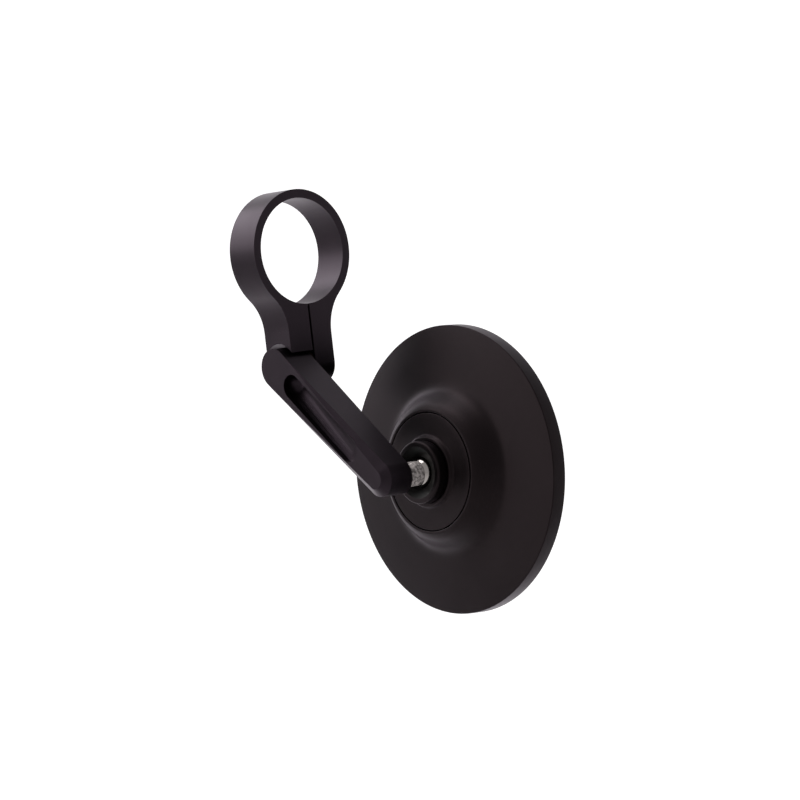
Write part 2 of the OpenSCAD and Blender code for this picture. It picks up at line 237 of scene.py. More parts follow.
# Black anodised aluminium, fine blasted and dyed: a dark dye under a clear oxide with a soft sheen.
BLASTED_BLACK = GrainedFinish(
    "satin_black_anodised_blasted", "#1E191D", roughness=0.38, metallic=1.0, grain_depth=0.12,
    edge_tint=DYE_EDGE,
)
# The same dye on a turned surface: finer, with faint rings from the lathe.
TURNED_BLACK = GrainedFinish(
    "satin_black_anodised_turned", "#161213", roughness=0.42, metallic=1.0, grain_depth=0.08, mottle=0.03,
    lathe_pitch_mm=0.5, edge_tint=DYE_EDGE,
)
# Black oxide on screw steel: nearly neutral, a little glossier than the dye.
OXIDE_STEEL = GrainedFinish(
    "black_oxide_screw_steel", "#222123", roughness=0.34, metallic=1.0, grain_depth=0.05,
)
# Chrome on the ball: smooth, its colour toned down to what the photo shows, as painted shade that dims its
# reflection of the pale surround.
CHROMED_BALL = GrainedFinish(
    "polished_chromed_ball", "#7A7573", roughness=0.10, metallic=1.0, grain_depth=0.0, mottle=0.01, tone=0.0,
)
# The stud's shank as coarse blasted steel: a speckled grey, its grain drawn as wide as it needs to show.
BLASTED_SHANK = GrainedFinish(
    "blasted_steel_shank", "#6A6564", roughness=0.55, metallic=1.0, grain_mm=0.9, grain_depth=1.0,
    mottle=0.1, tone=0.55, speckled=True,
)
# Painted shade for the inside of the collar nut's mouth: a near black, matt finish that stands for the shade
# deep in the coned mouth.
MOUTH_PAINTED_SHADE = GrainedFinish(
    "black_anodised_as_bored", "#0B0A0A", roughness=0.55, metallic=1.0, grain_depth=0.1,
)
# Bronze of the pivot's washers, darkened to a dark brown as painted shade for the narrow gaps they sit in.
SHADED_BRONZE = GrainedFinish(
    "blackened_bearing_bronze", "#2B211A", roughness=0.42, metallic=1.0, grain_depth=0.08,
)
# Bright spring steel of the cone springs.
SPRING_STEEL = GrainedFinish(
    "bright_spring_steel", "#B9BABD", roughness=0.28, metallic=1.0, grain_depth=0.05,
)
# Natural acetal of the ball's liner and cup: waxy white.
ACETAL = GrainedFinish(
    "natural_acetal", "#E4E2DA", roughness=0.42, metallic=0.0, grain_mm=0.8, grain_depth=0.03,
)
# Closed-cell foam tape between housing and glass: dark grey, pored and without sheen.
FOAM = GrainedFinish(
    "closed_cell_foam", "#2A2A2B", roughness=0.85, metallic=0.0, grain_mm=0.7, grain_depth=0.8,
)
# Silvered float glass: a clean mirror.
SILVERED_GLASS = GrainedFinish(
    "silvered_float_glass", "#DDE3E4", roughness=0.015, metallic=1.0, grain_depth=0.0, mottle=0.005, tone=0.0,
)


@dataclass(frozen=True)
class Placement:
    """A turned piece's own axes in the shared frame.

    Attributes:
        origin: the point that depths are counted from, in metres.
        axis: the unit direction of growing depth.
    """

    origin: Vector
    axis: Vector

    def lift(self, points: np.ndarray) -> np.ndarray:
        """Carries points from the piece's own axes, z along its axis, to the shared frame.

        Args:
            points: n rows of x, y and z in millimetres.

        Returns:
            n rows in metres.
        """
        turn = np.array(Vector((0, 0, 1)).rotation_difference(self.axis).to_matrix())
        return points * MM @ turn.T + np.array(self.origin)


def rounded_outline(corners: np.ndarray, radii: np.ndarray, steps: int = 6) -> np.ndarray:
    """Rounds each corner of an open outline: an arc of the given radius touches both neighbouring sides.

    The arc is the quadratic curve through the two touching points with the corner as its handle, which
    differs from a true arc by less than the render shows at these sizes.

    Args:
        corners: n rows of radius and depth in millimetres.
        radii: n radii in millimetres, 0 for a corner that stays sharp.
        steps: parts of each arc.

    Returns:
        The rounded outline's points.
    """
    made = [corners[:1]]
    t = np.linspace(0.0, 1.0, steps + 1)[:, None]
    for before, corner, after, radius in zip(corners[:-2], corners[1:-1], corners[2:], radii[1:-1]):
        if radius <= 0:
            made.append(corner[None])
            continue
        back, ahead = before - corner, after - corner
        long_back, long_ahead = np.linalg.norm(back), np.linalg.norm(ahead)
        cosine = float(np.clip(back @ ahead / (long_back * long_ahead), -0.9999, 0.9999))
        half = 0.5 * math.acos(cosine)
        reach = min(radius / math.tan(half), ROUND_SHARE * long_back, ROUND_SHARE * long_ahead)
        start, end = corner + back * reach / long_back, corner + ahead * reach / long_ahead
        made.append((1 - t) ** 2 * start + 2 * t * (1 - t) * corner + t ** 2 * end)
    made.append(corners[-1:])
    return np.concatenate(made)


def turned_mesh(
    name: str, outline: np.ndarray, placement: Placement, closed: bool, steps: int = 256,
) -> bpy.types.Mesh:
    """Turns an outline about its axis: point (r, z) at angle a goes to (r cos a, r sin a, z).

    Args:
        name: the mesh's name.
        outline: n rows of radius and depth in millimetres, counter-clockwise about the solid.
        placement: the piece's axes.
        closed: True where the outline's last point joins its first, False where both lie on the axis.
        steps: parts of the turn.

    Returns:
        The mesh.
    """
    angles = np.arange(steps) * 2 * math.pi / steps
    radius, depth = outline[:, 0], outline[:, 1]
    grid = np.stack([
        radius[:, None] * np.cos(angles), radius[:, None] * np.sin(angles),
        np.repeat(depth[:, None], steps, axis=1),
    ], axis=-1)
    rows = len(outline)
    last = rows if closed else rows - 1
    i, j = np.meshgrid(np.arange(last), np.arange(steps), indexing="ij")
    following, beside = (i + 1) % rows, (j + 1) % steps
    faces = np.stack(
        [i * steps + j, i * steps + beside, following * steps + beside, following * steps + j], axis=-1,
    ).reshape(-1, 4)
    mesh = bpy.data.meshes.new(name)
    mesh.from_pydata(placement.lift(grid.reshape(-1, 3)).tolist(), [], faces.tolist())
    work = bmesh.new()
    work.from_mesh(mesh)
    bmesh.ops.remove_doubles(work, verts=work.verts, dist=SAME_POINT_M)
    bmesh.ops.dissolve_degenerate(work, dist=NO_LENGTH_M, edges=work.edges)
    bmesh.ops.recalc_face_normals(work, faces=work.faces)
    for face in work.faces:
        face.smooth = True
    work.to_mesh(mesh)
    work.free()
    return mesh


def arc(centre: tuple[float, float], radius: float, start: float, end: float, steps: int) -> np.ndarray:
    """Gives points on a circle about a centre, evenly spaced from one angle to another.

    Args:
        centre: radius and depth of the circle's centre in millimetres.
        radius: the circle's radius.
        start: the first point's angle in degrees.
        end: the last point's.
        steps: parts of the arc.

    Returns:
        steps + 1 rows of radius and depth.
    """
    a = np.radians(np.linspace(start, end, steps + 1))
    return np.array(centre) + radius * np.stack([np.cos(a), np.sin(a)], axis=-1)


def eased(path: np.ndarray, reach: float, step: float = 0.2) -> np.ndarray:
    """Evens out an outline as a polishing wheel does: each point becomes the mean of its neighbours.

    The weights fall off as exp(-(d / reach)^2 / 2) with the distance d along the outline. Past each end the
    outline is carried on by its own point reflection, so both ends stay where they are.

    Args:
        path: n rows of radius and depth in millimetres.
        reach: how far the neighbours count, in millimetres.
        step: spacing of the new points.

    Returns:
        The eased outline, evenly spaced.
    """
    run = np.concatenate([[0.0], np.cumsum(np.linalg.norm(np.diff(path, axis=0), axis=1))])
    even = np.linspace(0.0, run[-1], int(run[-1] / step) + 1)
    points = np.stack([np.interp(even, run, path[:, 0]), np.interp(even, run, path[:, 1])], axis=-1)
    ends = int(4 * reach / step)
    before = 2 * points[0] - points[1:ends + 1][::-1]
    after = 2 * points[-1] - points[-ends - 1:-1][::-1]
    weights = np.exp(-0.5 * (np.arange(-ends, ends + 1) * step / reach) ** 2)
    weights /= weights.sum()
    padded = np.concatenate([before, points, after])
    return np.stack([np.convolve(padded[:, k], weights, mode="valid") for k in (0, 1)], axis=-1)


def place_piece(mesh: bpy.types.Mesh, node: str, body: Body) -> bpy.types.Object:
    """Links a finished mesh, lets it ride on its body and stand for its node.

    Args:
        mesh: the mesh, already in the shared frame.
        node: the node it stands for.
        body: the body it rides on.

    Returns:
        The piece.
    """
    piece = bpy.data.objects.new(node + "_finished", mesh)
    bpy.context.scene.collection.objects.link(piece)
    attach(piece, body.value)
    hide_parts(node)
    LOG.info("%s: %d faces on %s", piece.name, len(mesh.polygons), body.value)
    return piece


def dress(target: bpy.types.Object, material: bpy.types.Material) -> None:
    """Gives a piece its one material."""
    target.data.materials.clear()
    target.data.materials.append(material)


def face_places(mesh: bpy.types.Mesh, placement: Placement) -> tuple[np.ndarray, np.ndarray]:
    """Finds where each face of a turned piece lies.

    Args:
        mesh: the mesh in the shared frame.
        placement: the piece's axes.

    Returns:
        The face centres' radii and depths in millimetres.
    """
    centres = np.zeros(len(mesh.polygons) * 3)
    mesh.polygons.foreach_get("center", centres)
    offset = (centres.reshape(-1, 3) - np.array(placement.origin)) / MM
    depth = offset @ np.array(placement.axis)
    return np.linalg.norm(offset - depth[:, None] * np.array(placement.axis), axis=1), depth


def dress_part(target: bpy.types.Object, material: bpy.types.Material, faces: np.ndarray) -> None:
    """Gives the chosen faces of a dressed piece a second material.

    Args:
        target: the piece, which has its first material.
        material: the second material.
        faces: True for each face that gets it.
    """
    target.data.materials.append(material)
    target.data.polygons.foreach_set("material_index", faces.astype(int))


@dataclass
class EdgeBroken:
    """A machined node whose edges are broken: a merged copy of its mesh with a small round on each edge.

    Attributes:
        node: the node's name.
        body: the body it rides on.
        finish: its finish.
        edge_mm: the width of the broken edge.
        merge_mm: points nearer than this are one.
        flat_degrees: faces that meet at a smaller angle become one flat face.
        sharp_degrees: edges that turn by more than this are broken.
        edge_steps: parts of the round on a broken edge.
    """

    node: str
    body: Body
    finish: GrainedFinish
    edge_mm: float = 0.14
    merge_mm: float = 0.002
    flat_degrees: float = 0.02
    sharp_degrees: float = 28.0
    edge_steps: int = 3

    def reshape(self, mesh: bpy.types.Mesh) -> None:
        """Changes the copied mesh before its edges are broken: a plain node keeps its shape."""

    def build(self) -> bpy.types.Object:
        """Makes the piece and lets it stand for the node.

        Returns:
            The piece, with its bevel still a modifier.
        """
        mesh = frame["nodes"][self.node].data.copy()
        mesh.name = self.node + "_finished"
        self.reshape(mesh)
        work = bmesh.new()
        work.from_mesh(mesh)
        bmesh.ops.remove_doubles(work, verts=work.verts, dist=self.merge_mm * MM)
        bmesh.ops.dissolve_limit(
            work, angle_limit=math.radians(self.flat_degrees), verts=work.verts, edges=work.edges,
            delimit={"NORMAL"},
        )
        for face in work.faces:
            face.smooth = True
        work.to_mesh(mesh)
        work.free()
        piece = place_piece(mesh, self.node, self.body)
        dress(piece, self.finish.build())
        bevel = piece.modifiers.new("broken_edges", "BEVEL")
        bevel.width = self.edge_mm * MM
        bevel.segments = self.edge_steps
        bevel.limit_method = "ANGLE"
        bevel.angle_limit = math.radians(self.sharp_degrees)
        bevel.use_clamp_overlap = True
        bevel.miter_outer = "MITER_ARC"
        flats = piece.modifiers.new("flat_faces_stay_flat", "WEIGHTED_NORMAL")
        flats.mode = "FACE_AREA"
        return piece


@dataclass
class SwingArm(EdgeBroken):
    """The arm, with its pocket milled on a slope: deepest at the pivot's end, shallow at the stud's end.

    Attributes:
        wall_mm: depth of the pocket's upright wall, which stays as it is.
        pocket_r_mm: half the pocket's width.
        rise_from_mm: distance from the pivot where the floor starts to rise.
        rise_to_mm: distance from the pivot where the floor is shallowest.
        near_keep: share of the depth below the wall that is kept at the start.
        far_keep: the same share at the end.
        pocket_d_mm: depth that no point of the pocket passes.
        margin_mm: how far past the pocket's half width its points may lie.
    """

    wall_mm: float = 1.9
    pocket_r_mm: float = 4.25
    rise_from_mm: float = 10.6
    rise_to_mm: float = 44.6
    near_keep: float = 1.0
    far_keep: float = 0.15
    pocket_d_mm: float = 6.2
    margin_mm: float = 0.4

    def reshape(self, mesh: bpy.types.Mesh) -> None:
        """Slopes the floor: the depth below the wall is scaled by a share that falls evenly along the arm.

        Args:
            mesh: the arm's mesh in the shared frame, changed in place.
        """
        joints = {j["name"]: Vector(j["pos_m"]) for j in frame["joints"]}
        pivot, ball = joints["arm_pivot"], joints["mirror_tilt"]
        along = Vector((ball.x - pivot.x, 0, ball.z - pivot.z)).normalized()
        places = np.zeros(len(mesh.vertices) * 3)
        mesh.vertices.foreach_get("co", places)
        places = places.reshape(-1, 3)
        offset = (places - np.array(pivot)) / MM
        run = offset @ np.array(along)
        across = offset @ np.array(along.cross(Vector((0, 1, 0))))
        depth = (places[:, 1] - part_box(self.node)[0].y) / MM
        inside = (depth > self.wall_mm) & (depth < self.pocket_d_mm)
        inside &= np.abs(across) < self.pocket_r_mm + self.margin_mm
        inside &= (run > self.rise_from_mm - self.pocket_r_mm) & (run < self.rise_to_mm + self.pocket_r_mm)
        share = np.interp(run, [self.rise_from_mm, self.rise_to_mm], [self.near_keep, self.far_keep])
        made = np.where(inside, self.wall_mm + (depth - self.wall_mm) * share, depth)
        places[:, 1] += (made - depth) * MM
        mesh.vertices.foreach_set("co", places.ravel())
        mesh.update()


@dataclass
class MirrorHead:
    """The turned pieces of the head: housing, socket plate, collar nut and glass.

    Sizes are in millimetres, and depths are counted from the ball's centre to the rear.

    Attributes:
        rim_r: the housing's radius.
        rim_wall: the rim's wall.
        rim_back: depth of the rim's front edge.
        rim_h: height of the straight rim.
        shoulder_back: depth of the shoulder's face.
        shoulder_r: outer radius of the shoulder's face.
        shoulder_round: round between shoulder and flank.
        flank_r: radius where the flank meets the back's outer ring.
        flank_sweep: round between flank and outer ring.
        cone_rise: rise of the outer ring from the flank to the rim.
        flank_ease: reach of the polishing wheel on the back.
        arc_steps: parts of each of the flank's rounds.
        plate_r: the socket plate's radius.
        plate_t: its thickness.
        groove_w: the groove round it.
        edge_round: round on a plain edge.
        rim_rounds: rounds on the rim's front edge, rear edge and inner rear edge.
        floor_t: the housing's floor behind the socket plate.
        hub_r: radius of the socket plate's hub.
        hub_fit: clearance of the hub in the floor.
        cavity_r: radius of the hollow behind the glass, at its rear.
        cavity_w: width of the floor outside the groove.
        lip_r: radius of the lip round the collar nut.
        lip_front: depth of the lip's face.
        lip_round: round on the lip.
        flare_w: width of the flare between lip and plate.
        flare_drop: height of the lip above the flare.
        flare_steps: parts of the flare.
        collar_r: the collar nut's radius.
        collar_front: height of the collar nut in front of the ball's centre.
        mouth_r: radius of the nut's cone at its mouth.
        seat_r: radius of the ball's seat in the nut.
        seat_lip: how far the seat reaches in front of the ball's centre.
        seat_steps: parts of the seat's round.
        thread_r: radius of the nut's thread.
        thread_l: length of the nut's thread.
        thread_fit: clearance of the nut in the thread.
        thread_relief: depth behind the nut in the socket plate.
        seat_back: depth of the seat's rear edge.
        nut_rounds: rounds on the nut's mouth, front edge and rear edge.
        unshaded_rim: width of the mouth's edge that keeps the turned finish.
        cup_bore_r: radius of the bore for the seat cup.
        socket_floor: depth of that bore's floor.
        socket_back: depth of the hub's rear face.
        glass_seat: depth of the seat of pad and glass.
        pad_t: the foam pad's thickness.
        glass_t: the glass's thickness.
        glass_gap: clearance of the glass in the rim.
        glass_rounds: rounds on the glass's front and rear edge.
        place: the head's own axes.
    """

    rim_r: float = 48.6
    rim_wall: float = 1.4
    rim_back: float = 12.6
    rim_h: float = 5.4
    shoulder_back: float = 2.0
    shoulder_r: float = 20.9
    shoulder_round: float = 2.4
    flank_r: float = 28.8
    flank_sweep: float = 3.6
    cone_rise: float = 2.5
    flank_ease: float = 1.6
    arc_steps: int = 16
    plate_r: float = 19.7
    plate_t: float = 3.0
    groove_w: float = 0.35
    edge_round: float = 0.3
    rim_rounds: tuple[float, float, float] = (0.35, 0.4, 0.3)
    floor_t: float = 2.2
    hub_r: float = 11.45
    hub_fit: float = 0.15
    cavity_r: float = 33.4
    cavity_w: float = 3.4
    lip_r: float = 11.8
    lip_front: float = 0.4
    lip_round: float = 0.8
    flare_w: float = 5.6
    flare_drop: float = 1.2
    flare_steps: int = 12
    collar_r: float = 10.5
    collar_front: float = 3.4
    mouth_r: float = 8.7
    seat_r: float = 5.55
    seat_lip: float = 1.7
    seat_steps: int = 10
    thread_r: float = 9.0
    thread_l: float = 4.6
    thread_fit: float = 0.05
    thread_relief: float = 0.2
    seat_back: float = 0.3
    nut_rounds: tuple[float, float, float] = (0.25, 0.8, 0.3)
    unshaded_rim: float = 0.3
    cup_bore_r: float = 7.25
    socket_floor: float = 8.95
    socket_back: float = 10.35
    glass_seat: float = 15.2
    pad_t: float = 0.8
    glass_t: float = 1.8
    glass_gap: float = 0.1
    glass_rounds: tuple[float, float] = (0.3, 0.5)
    place: Placement = field(init=False)

    def __post_init__(self) -> None:
        """Takes the head's axis from the spin joint."""
        spin = next(j for j in frame["joints"] if j["name"] == "mirror_spin")
        self.place = Placement(Vector(spin["pos_m"]), Vector(spin["axis"]).normalized())

    def turned_black(self, name: str) -> bpy.types.Material:
        """Makes the turned black finish with its rings about the head's own axis.

        Args:
            name: the piece's name, which the material's ends with.

        Returns:
            The material.
        """
        made = TURNED_BLACK.build(self.place.origin, self.place.axis)
        made.name = TURNED_BLACK.name + "_" + name
        return made

    def flank(self) -> np.ndarray:
        """Draws the back from the shoulder to halfway out on the outer ring.

        It is two arcs and the inner tangent between them: the shoulder's round bulges outwards, the sweep
        is hollow and ends where it touches the outer ring's slope. The whole is then eased.

        Returns:
            n rows of radius and depth in millimetres.
        """
        lean = math.degrees(math.atan(self.cone_rise / (self.rim_r - self.flank_r)))
        top = np.array([self.shoulder_r, self.shoulder_back + self.shoulder_round])
        sweep = np.array([self.flank_r, self.rim_back - self.cone_rise]) + self.flank_sweep * np.array(
            [math.sin(math.radians(lean)), -math.cos(math.radians(lean))])
        span = sweep - top
        reach = (self.shoulder_round + self.flank_sweep) / float(np.linalg.norm(span))
        out = math.degrees(math.atan2(span[1], span[0])) - math.degrees(math.acos(reach))
        ring = np.array([self.rim_r, self.rim_back])
        head = arc(tuple(top), self.shoulder_round, -90, out, self.arc_steps)
        foot = arc(tuple(sweep), self.flank_sweep, out + 180, 90 + lean, self.arc_steps)
        return eased(np.concatenate([head, foot, [0.5 * (foot[-1] + ring)]]), self.flank_ease)

    def housing(self) -> None:
        """The dished housing: rim, outer ring, flank, shoulder and the inside behind the glass."""
        open_r = self.plate_r + self.groove_w
        floor_back = self.shoulder_back + self.plate_t + self.floor_t
        plate_back = self.shoulder_back + self.plate_t
        rim_end = self.rim_back + self.rim_h
        inner = self.rim_r - self.rim_wall
        flank = self.flank()
        before = np.array([[open_r, plate_back], [open_r, self.shoulder_back]])
        after = np.array([
            [self.rim_r, self.rim_back], [self.rim_r, rim_end], [inner, rim_end], [inner, self.glass_seat],
            [self.cavity_r, self.glass_seat], [open_r + self.cavity_w, floor_back],
            [self.hub_r + self.hub_fit, floor_back], [self.hub_r + self.hub_fit, plate_back],
        ])
        corners = np.concatenate([before, flank, after, before[:1]])
        radii = np.zeros(len(corners))
        radii[1] = self.edge_round
        rim = len(before) + len(flank)
        radii[rim:rim + 3] = self.rim_rounds
        outline = rounded_outline(corners, radii)[:-1]
        mesh = turned_mesh("mirror_housing_finished", outline, self.place, True)
        piece = place_piece(mesh, "mirror_housing", Body.HEAD)
        dress(piece, self.turned_black("housing"))

    def socket_plate(self) -> None:
        """The round plate in the housing's centre: lip, flared face and hub.

        The flare falls from the lip to the plate's face as a parabola that ends level.
        """
        plate_back = self.shoulder_back + self.plate_t
        t = np.linspace(1 / self.flare_steps, 1, self.flare_steps)
        top = self.lip_front + self.flare_drop
        flare = np.stack([
            self.lip_r + self.flare_w * t, top + (self.shoulder_back - top) * (1 - (1 - t) ** 2),
        ], axis=-1)
        thread_end = self.lip_front + self.thread_l + self.thread_relief
        inside = np.array([
            [0, self.socket_floor], [self.cup_bore_r, self.socket_floor], [self.cup_bore_r, thread_end],
            [self.thread_r, thread_end], [self.thread_r, self.lip_front],
        ])
        outside = np.array([
            [self.plate_r, self.shoulder_back], [self.plate_r, plate_back], [self.hub_r, plate_back],
            [self.hub_r, self.socket_back], [0, self.socket_back],
        ])
        corners = np.concatenate([inside, [[self.lip_r, self.lip_front]], flare, outside])
        radii = np.zeros(len(corners))
        radii[len(inside)] = self.lip_round
        radii[len(inside) + 1 + len(flare)] = self.edge_round
        mesh = turned_mesh("socket_plate_finished", rounded_outline(corners, radii), self.place, False)
        piece = place_piece(mesh, "socket_plate", Body.HEAD)
        dress(piece, self.turned_black("plate"))

    def collar_nut(self) -> None:
        """The collar nut: a round nut with a coned mouth and the ball's front seat.

        The seat is an arc about the ball's centre, from its middle to the edge of the mouth's cone.
        """
        lip_r = math.sqrt(self.seat_r ** 2 - self.seat_lip ** 2)
        seat_top = math.degrees(math.atan2(-self.seat_lip, lip_r))
        seat = arc((0.0, 0.0), self.seat_r, 0.0, seat_top, self.seat_steps)
        thread_end = self.lip_front + self.thread_l
        corners = np.concatenate([
            [[self.cup_bore_r, thread_end], [self.cup_bore_r, self.seat_back], [self.seat_r, self.seat_back]],
            seat,
            [[self.mouth_r, -self.collar_front], [self.collar_r, -self.collar_front],
             [self.collar_r, self.lip_front], [self.thread_r - self.thread_fit, self.lip_front],
             [self.thread_r - self.thread_fit, thread_end], [self.cup_bore_r, thread_end]],
        ])
        radii = np.zeros(len(corners))
        mouth = 3 + len(seat)
        radii[mouth:mouth + 3] = self.nut_rounds
        outline = rounded_outline(corners, radii)[:-1]
        mesh = turned_mesh("collar_nut_finished", outline, self.place, True)
        piece = place_piece(mesh, "collar_nut", Body.HEAD)
        dress(piece, self.turned_black("nut"))
        radius, depth = face_places(mesh, self.place)
        # The mouth's inside, short of its rim, gets painted shade: a near black finish where the cone lies in
        # shade.
        dress_part(piece, MOUTH_PAINTED_SHADE.build(), (radius < self.mouth_r - self.unshaded_rim) & (depth < 0.0))

    def glass(self) -> None:
        """The round mirror glass with its ground edge."""
        back = self.glass_seat + self.pad_t
        radius = self.rim_r - self.rim_wall - self.glass_gap
        rear = back + self.glass_t
        corners = np.array([[0, back], [radius, back], [radius, rear], [0, rear]])
        outline = rounded_outline(corners, np.array([0, *self.glass_rounds, 0]))
        mesh = turned_mesh("mirror_glass_finished", outline, self.place, False)
        piece = place_piece(mesh, "mirror_glass", Body.HEAD)
        dress(piece, SILVERED_GLASS.build())

    def build(self) -> None:
        """Makes the head's turned pieces."""
        self.housing()
        self.socket_plate()
        self.collar_nut()
        self.glass()


@dataclass
class BallStud:
    """The stud: a chromed ball on a blasted shank.

    Attributes:
        ball_r: the ball's radius in millimetres.
        shank_r: the shank's.
        thread_r: the thread's, in the arm.
        ball_steps: parts of the ball's outline.
        turn_steps: parts of the turn.
        neck_edge: how far in front of the neck the shank's finish ends.
    """

    ball_r: float = 5.5
    shank_r: float = 4.15
    thread_r: float = 4.0
    ball_steps: int = 40
    turn_steps: int = 128
    neck_edge: float = 0.01

    def build(self) -> None:
        """Makes the ball and the shank as one piece with two finishes, turned about the shared frame's Y."""
        ball = next(j for j in frame["joints"] if j["name"] == "mirror_tilt")
        place = Placement(Vector(ball["pos_m"]), Vector((0, 1, 0)))
        arm_back = (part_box("mirror_arm")[1].y - place.origin.y) / MM
        thread_end = (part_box("ball_stud")[0].y - place.origin.y) / MM
        neck = -math.sqrt(self.ball_r ** 2 - self.shank_r ** 2)
        start = math.degrees(math.atan2(neck, self.shank_r))
        corners = np.concatenate([
            [[0, thread_end], [self.thread_r, thread_end], [self.thread_r, arm_back],
             [self.shank_r, arm_back]],
            arc((0.0, 0.0), self.ball_r, start, 90, self.ball_steps),
        ])
        corners[-1, 0] = 0
        mesh = turned_mesh("ball_stud_finished", corners, place, False, self.turn_steps)
        piece = place_piece(mesh, "ball_stud", Body.ARM)
        dress(piece, CHROMED_BALL.build())
        dress_part(piece, BLASTED_SHANK.build(), face_places(mesh, place)[1] < neck - self.neck_edge)


@dataclass(frozen=True)
class Softbox:
    """A square soft lamp that looks at the object.

    Attributes:
        name: the lamp's name.
        right: metres to the right of the aim, as the picture shows it.
        up: metres above the aim.
        near: metres towards the camera from the aim.
        size: the lamp's side in metres.
        power: watts.
    """

    name: str
    right: float
    up: float
    near: float
    size: float
    power: float


# Where the lamps stand and how strong they are was found by a fit to the light in the photo.
SOFTBOXES = (
    Softbox("key_softbox", right=-0.440, up=0.268, near=-0.125, size=0.44, power=2.5),
    Softbox("left_softbox", right=-1.347, up=-0.122, near=0.361, size=0.8, power=6.0),
    Softbox("back_softbox", right=-1.039, up=0.592, near=-0.728, size=0.8, power=3.0),
    Softbox("top_softbox", right=-0.211, up=0.513, near=0.0, size=0.34, power=2.0),
    Softbox("right_softbox", right=1.200, up=0.250, near=0.160, size=0.8, power=1.0),
)


@dataclass
class Studio:
    """Camera, lamps and the pale surroundings.

    Attributes:
        aim_mm: the point in the middle of the picture.
        distance_mm: the camera's distance from it.
        azimuth: direction of the view, 0 looks along +Y, turning left.
        elevation: how far the view looks down.
        roll: turn of the picture.
        focal_px: focal length in pixels of the picture.
        picture_px: the picture's width and height.
        sensor_mm: the sensor's width.
        sight_m: the nearest and farthest distance that the camera sees.
        floor_m: height of the floor in the shared frame.
        floor_near_m: how far the floor reaches towards the camera.
        backdrop_m: distance of the backdrop behind the shared frame's origin.
        backdrop_top_m: height of the backdrop's upper edge.
        bend_m: radius of the round between floor and backdrop.
        bend_points: points on that round.
        half_width_m: how far the floor reaches to each side.
        glow: the paper's own light for what the camera, gloss and glass see.
        surround: the surround's strength for scattered light.
    """

    aim_mm: tuple[float, float, float] = (47.636, 0.0, -53.439)
    distance_mm: float = 1325.22
    azimuth: float = 48.688
    elevation: float = 1.172
    roll: float = 6.554
    focal_px: float = 4000.0
    picture_px: float = 800.0
    sensor_mm: float = 36.0
    sight_m: tuple[float, float] = (0.01, 20.0)
    floor_m: float = -0.32
    floor_near_m: float = 2.5
    backdrop_m: float = 1.7
    backdrop_top_m: float = 2.6
    bend_m: float = 0.6
    bend_points: int = 25
    half_width_m: float = 3.0
    glow: float = 0.55
    surround: float = 0.45

    def view_axes(self) -> tuple[Vector, Vector, Vector]:
        """Works out the directions of the picture: a level camera, turned by the roll about its view.

        Returns:
            The picture's right, up and forward directions in the shared frame.
        """
        az, el, roll = (math.radians(v) for v in (self.azimuth, self.elevation, self.roll))
        forward = Vector((-math.sin(az) * math.cos(el), math.cos(az) * math.cos(el), -math.sin(el)))
        level = forward.cross(Vector((0, 0, 1))).normalized()
        upright = level.cross(forward)
        up = upright * math.cos(roll) + level * math.sin(roll)
        return forward.cross(up), up, forward

    def camera(self) -> None:
        """Makes the camera at the photograph's viewing angle."""
        right, up, forward = self.view_axes()
        data = bpy.data.cameras.new("camera")
        data.sensor_width = self.sensor_mm
        data.lens = self.focal_px / self.picture_px * data.sensor_width
        data.clip_start, data.clip_end = self.sight_m
        made = bpy.data.objects.new("camera", data)
        spot = Vector(self.aim_mm) * MM - forward * self.distance_mm * MM
        turn = Matrix((right, up, -forward)).transposed()
        made.matrix_world = Matrix.Translation(spot) @ turn.to_4x4()
        bpy.context.scene.collection.objects.link(made)
        bpy.context.scene.camera = made

    def softbox(self, lamp: Softbox) -> None:
        """Adds a lamp that looks at the aim.

        Args:
            lamp: its place, size and power.
        """
        right, up, forward = self.view_axes()
        aim = Vector(self.aim_mm) * MM
        spot = aim + right * lamp.right + up * lamp.up - forward * lamp.near
        data = bpy.data.lights.new(lamp.name, "AREA")
        data.shape, data.size, data.energy = "SQUARE", lamp.size, lamp.power
        made = bpy.data.objects.new(lamp.name, data)
        turn = (aim - spot).to_track_quat("-Z", "Y").to_matrix().to_4x4()
        made.matrix_world = Matrix.Translation(spot) @ turn
        bpy.context.scene.collection.objects.link(made)

    def seen(self, tree: bpy.types.NodeTree) -> bpy.types.NodeSocket:
        """Tells what the camera, gloss and glass see from scattered light.

        Args:
            tree: the node tree of the paper or the world.

        Returns:
            A socket that is 1 for what they see and 0 for scattered light.
        """
        rays = add_node(tree, "ShaderNodeLightPath").outputs
        direct = add_node(
            tree, "ShaderNodeMath", {0: rays["Is Camera Ray"], 1: rays["Is Glossy Ray"]},
            operation="MAXIMUM",
        )
        return add_node(
            tree, "ShaderNodeMath", {0: direct.outputs[0], 1: rays["Is Transmission Ray"]},
            operation="MAXIMUM",
        ).outputs[0]

    def paper(self) -> bpy.types.Material:
        """Makes pale paper that camera, gloss and glass see as even white, and that keeps its shadow.

        Returns:
            The material.
        """
        made = bpy.data.materials.new("pale_studio_paper")
        made.use_nodes = True
        tree = made.node_tree
        tree.nodes.clear()
        shader = add_node(
            tree, "ShaderNodeBsdfPrincipled", base_color=linear("#F4F4F4"), roughness=0.9,
        )
        glow = add_node(tree, "ShaderNodeEmission", color=linear("#FFFFFF"), strength=self.glow)
        both = add_node(tree, "ShaderNodeAddShader", {0: shader.outputs[0], 1: glow.outputs[0]})
        mixed = add_node(
            tree, "ShaderNodeMixShader", {0: self.seen(tree), 1: shader.outputs[0], 2: both.outputs[0]},
        )
        add_node(tree, "ShaderNodeOutputMaterial", {"Surface": mixed.outputs[0]})
        return made

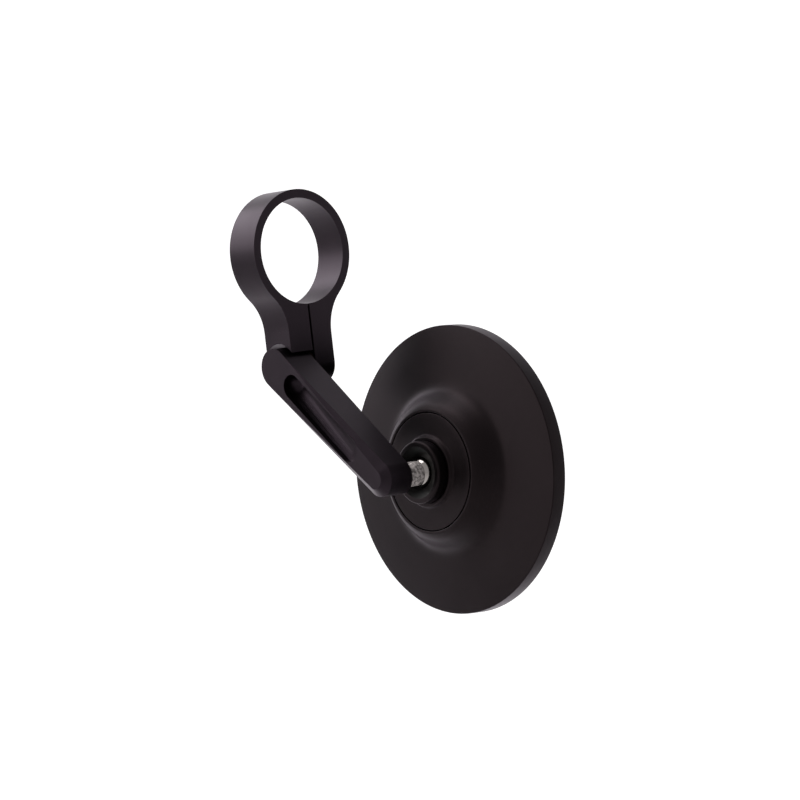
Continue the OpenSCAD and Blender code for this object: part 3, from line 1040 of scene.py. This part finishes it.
    def sweep(self) -> None:
        """A floor that runs up into a backdrop: a plane, a quarter round and a plane, seen square on."""
        az = math.radians(self.azimuth)
        ahead = np.array([-math.sin(az), math.cos(az)])
        side = np.array([math.cos(az), math.sin(az)])
        back, drop, bend = self.backdrop_m, self.floor_m, self.bend_m
        t = np.linspace(0, math.pi / 2, self.bend_points)
        run = np.concatenate([[-self.floor_near_m], back - bend + bend * np.sin(t), [back]])
        rise = np.concatenate([[drop], drop + bend - bend * np.cos(t), [self.backdrop_top_m]])
        across = (-self.half_width_m, self.half_width_m)
        u, s = np.meshgrid(np.arange(len(run)), across, indexing="ij")
        flat = run[u][..., None] * ahead + s[..., None] * side
        points = np.concatenate([flat, rise[u][..., None]], axis=-1).reshape(-1, 3)
        i = np.arange(len(run) - 1)
        faces = np.stack([2 * i, 2 * i + 1, 2 * i + 3, 2 * i + 2], axis=-1)
        mesh = bpy.data.meshes.new("studio_sweep")
        mesh.from_pydata(points.tolist(), [], faces.tolist())
        mesh.shade_smooth()
        made = bpy.data.objects.new("studio_sweep", mesh)
        bpy.context.scene.collection.objects.link(made)
        dress(made, self.paper())

    def world(self) -> None:
        """An even pale surround: camera, gloss and glass see white, and it lights the object a little."""
        world = bpy.data.worlds.new("pale_surround")
        bpy.context.scene.world = world
        world.use_nodes = True
        tree = world.node_tree
        tree.nodes.clear()
        strength = add_node(
            tree, "ShaderNodeMapRange", {"Value": self.seen(tree)}, to_min=self.surround, to_max=1.0,
        )
        ground = add_node(
            tree, "ShaderNodeBackground", {"Strength": strength.outputs[0]}, color=linear("#FFFFFF"),
        )
        add_node(tree, "ShaderNodeOutputWorld", {"Surface": ground.outputs[0]})

    def build(self) -> None:
        """Sets up the whole studio."""
        self.camera()
        self.world()
        self.sweep()
        for lamp in SOFTBOXES:
            self.softbox(lamp)
        bpy.context.scene.view_settings.view_transform = "Standard"


# The nodes that are shown as they are, with their finishes.
DRESSED_NODES = {
    "clamp_screw": OXIDE_STEEL, "clamp_washer": OXIDE_STEEL, "pivot_screw": OXIDE_STEEL,
    "plate_screws": OXIDE_STEEL, "friction_washer": SHADED_BRONZE, "thrust_washer": SHADED_BRONZE,
    "pivot_spring": SPRING_STEEL, "seat_spring": SPRING_STEEL, "ball_liner": ACETAL,
    "seat_cup": ACETAL, "foam_pad": FOAM,
}


def main() -> None:
    """Builds the studio and every piece."""
    logging.basicConfig(level=logging.INFO, format="%(name)s: %(message)s")
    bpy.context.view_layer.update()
    Studio().build()
    EdgeBroken("bar_clamp", Body.CLAMP, BLASTED_BLACK).build()
    SwingArm("mirror_arm", Body.ARM, BLASTED_BLACK).build()
    MirrorHead().build()
    BallStud().build()
    for node, finish in DRESSED_NODES.items():
        dress(frame["nodes"][node], finish.build())
        LOG.info("%s: %s", node, finish.name)


if __name__ == "__main__":
    main()
